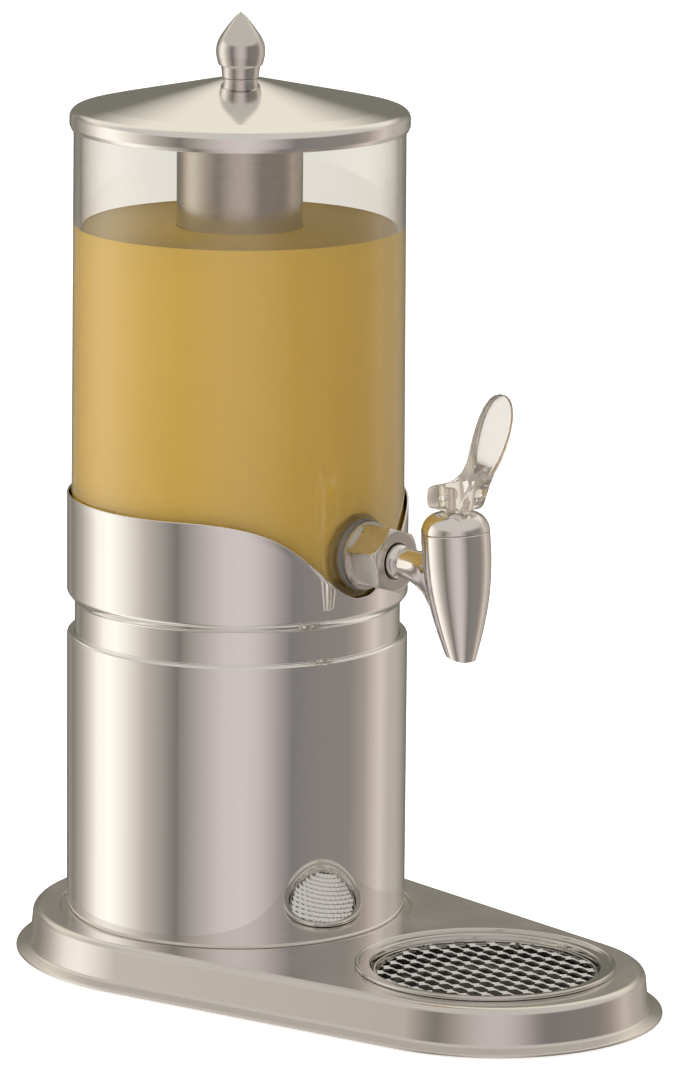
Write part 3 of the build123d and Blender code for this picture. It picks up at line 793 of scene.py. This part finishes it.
def make_tray():
    bead = []
    for k in range(BEAD_POINTS):
        angle = math.radians(BEAD_START + k * BEAD_STEP)
        bead.append(Vector((TRAY_R - BEAD_R + math.cos(angle) * BEAD_R,
                            TRAY_TOP - BEAD_R + math.sin(angle) * BEAD_R)))
    under_z = LEDGE_Z - TRAY_SHEET
    inside = rounded([(TRAY_R - 2.6, TRAY_TOP - 1.15), (LEDGE_R, TRAY_TOP - 1.3, 0.9),
                      (LEDGE_R - 0.5, LEDGE_Z, 0.7), (LEDGE_IN, LEDGE_Z)], steps=6, support=0.15)
    outside = rounded([(LEDGE_IN, under_z), (LEDGE_R + 0.9, under_z, 0.6),
                       (LEDGE_R + 0.9, TRAY_TOP - 2.2, 0.4), (TRAY_R - 1.8, TRAY_TOP - 2.15)],
                      steps=6, support=0.15)
    rim = lathe("tray_rim", outside + bead + inside, MAT["tray"], tray, segments=TRAY_SEGMENTS, closed=True)
    finish(rim, "tray", "polished_steel", "drip_tray")
    # The tub under the grate takes the dark material: painted shade in the tray's hollow.
    inner = rounded([(LEDGE_IN, LEDGE_Z), (TUB_R, TRAY_FLOOR + TRAY_SHEET, 3.0),
                     (0, TRAY_FLOOR + TRAY_SHEET)], steps=6, support=0.15)
    under = rounded([(0, TRAY_FLOOR), (TUB_R + 1, TRAY_FLOOR, 3.5), (TUB_R + 0.9, under_z)],
                    steps=6, support=0.15)
    tub = lathe("tray_tub", under + inner, MAT["tub"], tray, segments=TRAY_SEGMENTS)
    finish(tub, "tray", "polished_steel")


GRATE_R = 52.9
GRATE_LOW = 17.55
GRATE_HIGH = 19.8
GRATE_SHEET = 0.45
# The expanded sheet: rows of strands that swing between bonds.
MESH_TURN = math.radians(55.5)
ROW_PITCH = 7.6
CELL_PITCH = 9.8
CELL_STEPS = 14
STRAND_STEPS = 90
STRAND_WIDTH = 3.0
STRAND_THICK = 0.8
STRAND_TILT = math.radians(31)
BOND_HALF = 1.75


def make_grate_rim():
    lip_r = GRATE_R - 1.3
    web_r = GRATE_R - 0.5
    profile = rounded([(lip_r, GRATE_LOW), (GRATE_R, GRATE_LOW, 0.5), (GRATE_R, GRATE_HIGH, 0.6),
                       (lip_r, GRATE_HIGH, 0.2), (lip_r, GRATE_HIGH - GRATE_SHEET),
                       (web_r, GRATE_HIGH - GRATE_SHEET, 0.4), (web_r, GRATE_LOW + GRATE_SHEET, 0.3),
                       (lip_r, GRATE_LOW + GRATE_SHEET)], steps=5, support=0.1)
    piece = lathe("grate_ring", profile, MAT["tray"], tray, segments=TRAY_SEGMENTS, closed=True)
    finish(piece, "grate", "grate_steel", "grate_rim")


def strand_offset(x, flip):
    """Sideways swing of one strand of the expanded sheet: level at the bonds, straight between them."""
    swing = (ROW_PITCH - STRAND_WIDTH * math.cos(STRAND_TILT)) / 2
    place = abs(((x / CELL_PITCH + 0.5) % 1.0) - 0.5) * CELL_PITCH
    level = (place - BOND_HALF) / (CELL_PITCH / 2 - 2 * BOND_HALF)
    level = min(max(level, 0.0), 1.0)
    return swing * (1 - 2 * level) * flip


def strand_runs(row, limit):
    """The stretches of one strand that lie inside the grate's rim, as lists of (x, y)."""
    flip = 1 if row % 2 == 0 else -1
    runs = [[]]
    for k in range(-STRAND_STEPS, STRAND_STEPS + 1):
        x = k * (CELL_PITCH / CELL_STEPS)
        y = (row + 0.5) * ROW_PITCH + strand_offset(x, flip)
        if math.hypot(x, abs(y) + STRAND_WIDTH * 0.4) < limit:
            runs[-1].append((x, y))
        elif runs[-1]:
            runs.append([])
    return [run for run in runs if len(run) > 2]


def make_mesh():
    bm = bmesh.new()
    along = Vector((math.cos(MESH_TURN), math.sin(MESH_TURN), 0))
    across = Vector((-math.sin(MESH_TURN), math.cos(MESH_TURN), 0))
    middle = (GRATE_LOW + GRATE_HIGH) / 2
    limit = GRATE_R - 0.8
    corners = []
    for w, t in ((-0.5, -0.5), (0.5, -0.5), (0.5, 0.5), (-0.5, 0.5)):
        wide = w * STRAND_WIDTH
        tall = t * STRAND_THICK
        corners.append((wide * math.cos(STRAND_TILT) + tall * math.sin(STRAND_TILT),
                        -wide * math.sin(STRAND_TILT) + tall * math.cos(STRAND_TILT)))
    rows = int(limit // ROW_PITCH) + 1
    for row in range(-rows, rows):
        for run in strand_runs(row, limit):
            rings = []
            for x, y in run:
                ring = []
                for side, height in corners:
                    flat = along * x + across * (y + side)
                    ring.append(bm.verts.new(tray + flat * MM + Vector((0, 0, (middle + height) * MM))))
                rings.append(ring)
            join_rings(bm, rings)
            close_ends(bm, rings)
    finish(new_object("grate_strands", bm, MAT["grate"], 25), "grate", "grate_steel", "grate_mesh")


# ---------------------------------------------------------------- nut, tap body and bonnet
# Distances along the tap's tail are measured from the tower's axis.
NUT_IN = (nut_low.x - tower.x) / MM
NUT_OUT = (nut_high.x - tower.x) / MM
NUT_HALF = 14.2
NUT_CORNER = 16.3
NUT_TURN = math.radians(12)
NUT_SEGMENTS = 144
CHAMFER_STEPS = 10
COUNTERBORE_R = 8.9
COUNTERBORE_IN = 98.0
SHANK_R = 8.0


def tail_point(place, angle, half, rise):
    """Point on a section across the tap's tail: half width and rise in millimetres."""
    return (tower.x + place * MM, -math.sin(angle) * half * MM, neck_height + rise * MM)


def make_nut():
    stations = [(NUT_IN, NUT_HALF + 1.0), (NUT_IN + 0.5, NUT_HALF + 1.6), (NUT_IN + 1.2, NUT_CORNER + 0.1)]
    for step in range(CHAMFER_STEPS + 1):
        turn = math.pi / 2 * step / CHAMFER_STEPS
        stations.append((NUT_OUT - 3.4 + 3.4 * math.sin(turn), NUT_HALF - 1.0 + 3.2 * math.cos(turn)))
    stations += [(NUT_OUT, NUT_HALF - 1.6), (NUT_OUT, COUNTERBORE_R + 0.5), (NUT_OUT - 0.4, COUNTERBORE_R),
                 (COUNTERBORE_IN + 0.1, COUNTERBORE_R), (COUNTERBORE_IN, SHANK_R), (NUT_IN, SHANK_R)]
    bm = bmesh.new()
    rings = []
    for place, radius in stations:
        ring = []
        for k in range(NUT_SEGMENTS):
            angle = 2 * math.pi * k / NUT_SEGMENTS
            local = ((angle - NUT_TURN) % (math.pi / 3)) - math.pi / 6
            reach = min(radius, NUT_HALF / math.cos(local))
            ring.append(bm.verts.new(tail_point(place, angle, reach, math.cos(angle) * reach)))
        rings.append(ring)
    join_rings(bm, rings + rings[:1])
    finish(new_object("tap_nut_turned", bm, MAT["nut"], 28), "vessel", "tap_chrome", "tap_nut")


# Outlines of the barrel and the bonnet: radius, and height along the tap's axis from the seam.
BARREL = [(16.2, -0.45), (16.2, -1.2), (16.25, -6), (16.2, -12.5), (15.9, -18), (15.35, -24),
          (14.6, -30), (13.4, -36.5), (12.3, -41.3), (11.1, -46.0), (9.7, -50.9), (8.3, -55.5),
          (6.5, -61.0)]
DOME = [(16.2, 0.45), (16.1, 1.6), (15.55, 3.6), (14.5, 5.7), (12.9, 7.5), (10.8, 8.85), (8.2, 9.7),
        (5.4, 10.15)]
BARREL_END = BARREL[-1][1]
OUTLET_R = 5.4
OUTLET_DEEP = -40.0
TAP_SEGMENTS = 144
TAP_SMOOTH = 30
# The barrel's end is cut off here (out from the tower's axis, height), slightly aslant.
CUT_OUT = 145.1
CUT_HEIGHT = 167.3
CUT_SLOPE = -0.24


def make_tap():
    outline = [Vector((0, 0.0)), Vector((15.5, 0.0)), Vector((15.95, -0.1)), *curve_through(BARREL, steps=5)]
    outline += as_points([(OUTLET_R, BARREL_END), (OUTLET_R, OUTLET_DEEP), (0, OUTLET_DEEP)])
    barrel = lathe("tap_barrel", outline, MAT["chrome"], tap_seam, tap_up, tap_out, TAP_SEGMENTS, TAP_SMOOTH)
    bm = bmesh.new()
    bm.from_mesh(barrel.data)
    cut_point = tower + Vector((CUT_OUT * MM, 0, CUT_HEIGHT * MM))
    cut_normal = Vector((CUT_SLOPE, 0, -1)).normalized()
    cut = bmesh.ops.bisect_plane(bm, geom=bm.verts[:] + bm.edges[:] + bm.faces[:], plane_co=cut_point,
                                 plane_no=cut_normal, clear_outer=True)
    edges = [item for item in cut["geom_cut"] if isinstance(item, bmesh.types.BMEdge)]
    bmesh.ops.bridge_loops(bm, edges=edges)
    bmesh.ops.recalc_face_normals(bm, faces=bm.faces)
    bm.to_mesh(barrel.data)
    bm.free()
    barrel.data.set_sharp_from_angle(angle=math.radians(TAP_SMOOTH))
    finish(barrel, "vessel", "tap_chrome", "tap_body")


# Sections of the neck: distance from the tower's axis, half width, height above and below its axis.
NECK = [(98.3, 8.0, 8.0, 8.0), (98.6, 8.25, 8.25, 8.25), (104.6, 8.25, 8.25, 8.25),
        (105.6, 8.15, 8.15, 8.15), (106.5, 7.8, 7.8, 7.8), (107.2, 7.3, 7.3, 7.3),
        (107.5, 7.05, 7.05, 7.05), (108.2, 6.95, 6.95, 7.0), (111.0, 6.95, 6.95, 7.5),
        (115.0, 7.05, 6.95, 8.6), (119.0, 7.25, 7.0, 10.4), (122.5, 7.6, 7.2, 12.6),
        (125.5, 8.2, 7.7, 15.6), (128.0, 9.2, 8.5, 19.0), (131.0, 10.0, 9.2, 22.0)]
NECK_SEGMENTS = 96


def make_neck():
    bm = bmesh.new()
    rings = []
    for place, half, above, below in NECK:
        ring = []
        for k in range(NECK_SEGMENTS):
            angle = 2 * math.pi * k / NECK_SEGMENTS
            rise = math.cos(angle) * (above if math.cos(angle) > 0 else below)
            ring.append(bm.verts.new(tail_point(place, angle, half, rise)))
        rings.append(ring)
    join_rings(bm, rings)
    close_ends(bm, rings)
    finish(new_object("tap_neck", bm, MAT["chrome"], 40), "vessel", "tap_chrome")


def make_bonnet():
    profile = as_points([(2.7, -4), (15.0, -0.05), (15.6, 0.02), (15.98, 0.14)])
    profile += curve_through(DOME, steps=5)
    profile += as_points([(2.7, 10.3), (2.7, -4)])
    piece = lathe("bonnet_dome", profile, MAT["chrome"], tap_seam, tap_up, tap_out, TAP_SEGMENTS, TAP_SMOOTH)
    finish(piece, "vessel", "tap_chrome", "bonnet")


# ---------------------------------------------------------------- lever
# Level slices of the lever: height, back and front distance from the tower's axis, half width,
# corner radius.
LEVER = [(237.5, 131.2, 147.4, 7.4, 0.6), (238.0, 129.9, 149.2, 8.0, 1.0), (239.6, 129.0, 150.8, 8.3, 1.5),
         (242.0, 128.7, 152.0, 8.4, 1.6), (245.0, 128.9, 153.0, 8.4, 1.6), (247.0, 129.4, 153.9, 8.3, 1.6),
         (248.0, 130.6, 154.3, 8.2, 1.6), (248.8, 133.0, 154.6, 8.1, 1.6), (249.6, 136.6, 155.0, 8.1, 1.6),
         (250.8, 140.4, 155.5, 8.2, 1.7), (252.6, 144.0, 156.3, 8.4, 1.8), (255.0, 147.6, 157.3, 8.8, 1.9),
         (258.0, 150.9, 158.7, 9.4, 2.0), (262.5, 154.4, 160.4, 10.4, 2.0), (267.0, 156.6, 161.8, 11.3, 1.9),
         (272.0, 158.5, 163.1, 12.0, 1.8), (277.0, 160.2, 164.4, 12.2, 1.8), (281.0, 161.4, 165.4, 11.9, 1.8),
         (284.5, 162.3, 166.1, 11.2, 1.7), (287.5, 163.0, 166.7, 10.1, 1.6), (290.0, 163.5, 167.2, 8.7, 1.5),
         (292.0, 163.9, 167.5, 7.1, 1.5), (293.6, 164.2, 167.7, 5.2, 1.4), (294.6, 164.5, 167.7, 3.3, 1.2),
         (295.0, 164.9, 167.4, 1.8, 0.8)]
CORNER_STEPS = 6
# Slot for the stem: middle in front of the tap's axis, half its straight length, radius of its
# ends, and its lower and upper end along the axis.
SLOT_OUT = 1.3
SLOT_HALF = 4.3
SLOT_R = 3.2
SLOT_LOW = 6
SLOT_HIGH = 30
SLOT_STEPS = 12
PIN_HOLE_R = 1.56
PIN_HOLE_HALF = 12


def lever_slice(bm, height, back, front, half, corner):
    ring = []
    for cx, cy, start in ((front - corner, half - corner, 0), (back + corner, half - corner, 90),
                          (back + corner, corner - half, 180), (front - corner, corner - half, 270)):
        for step in range(CORNER_STEPS + 1):
            angle = math.radians(start + 90 * step / CORNER_STEPS)
            ring.append(bm.verts.new((tower.x + (cx + math.cos(angle) * corner) * MM,
                                      (cy + math.sin(angle) * corner) * MM, height * MM)))
    return ring


def make_slot_cutter():
    bm = bmesh.new()
    low = []
    high = []
    for side, start in ((1, -90), (-1, 90)):
        for step in range(SLOT_STEPS + 1):
            angle = math.radians(start + 180 * step / SLOT_STEPS)
            flat = Vector((SLOT_OUT + side * SLOT_HALF + math.cos(angle) * SLOT_R,
                           math.sin(angle) * SLOT_R))
            place = tap_seam + tap_out * flat.x * MM + Vector((0, flat.y * MM, 0))
            low.append(bm.verts.new(place + tap_up * SLOT_LOW * MM))
            high.append(bm.verts.new(place + tap_up * SLOT_HIGH * MM))
    join_rings(bm, [low, high])
    close_ends(bm, [low, high])
    return new_object("slot_cutter", bm, MAT["lever"], 40)


def make_lever():
    bm = bmesh.new()
    rings = [lever_slice(bm, *values) for values in LEVER]
    join_rings(bm, rings)
    close_ends(bm, rings)
    piece = new_object("lever_moulding", bm, MAT["lever"], 40)
    pin_hole = [(0, -PIN_HOLE_HALF), (PIN_HOLE_R, -PIN_HOLE_HALF), (PIN_HOLE_R, PIN_HOLE_HALF),
                (0, PIN_HOLE_HALF)]
    cutters = [make_slot_cutter(),
               lathe("pin_cutter", pin_hole, MAT["lever"], lever_pin, Vector((0, 1, 0)), FORWARD, 32)]
    for cutter in cutters:
        cut = piece.modifiers.new(cutter.name, "BOOLEAN")
        cut.operation = "DIFFERENCE"
        cut.solver = "EXACT"
        cut.object = cutter
    bpy.context.view_layer.update()
    cut_piece = piece.evaluated_get(bpy.context.evaluated_depsgraph_get())
    mesh = bpy.data.meshes.new_from_object(cut_piece)
    piece.modifiers.clear()
    piece.data = mesh
    smooth_shade(mesh, 35)
    for cutter in cutters:
        bpy.data.objects.remove(cutter, do_unlink=True)
    finish(piece, "lever", "clear_lever", "lever_handle")


make_base()
make_shell()
make_collar()
make_container()
make_boss()
make_juice()
make_lid()
make_knob()
make_tube()
make_tray()
make_grate_rim()
make_mesh()
make_nut()
make_tap()
make_neck()
make_bonnet()
make_lever()


# ---------------------------------------------------------------- CAD nodes that show as they are
CAD_MATERIALS = {"base_feet": "rubber", "foot_studs": "zinc", "housing_floor": "satin",
                 "housing_screws": "zinc", "housing_nuts": "zinc", "container_seat": "satin",
                 "seat_cushion": "silicone", "tap_shank": "chrome", "inner_seal": "silicone",
                 "outer_seal": "gasket", "tap_washer": "nut", "neck_oring": "rubber",
                 "valve_spring": "zinc", "valve_stem": "chrome", "seat_cup": "silicone",
                 "lever_pin": "chrome", "lid_ring": "plastic", "knob_washer": "zinc",
                 "knob_screw": "zinc", "tube_socket": "satin", "tube_oring": "silicone"}
for node_name, key in CAD_MATERIALS.items():
    cad_mesh = nodes[node_name].data
    cad_mesh.materials.clear()
    cad_mesh.materials.append(MAT[key])
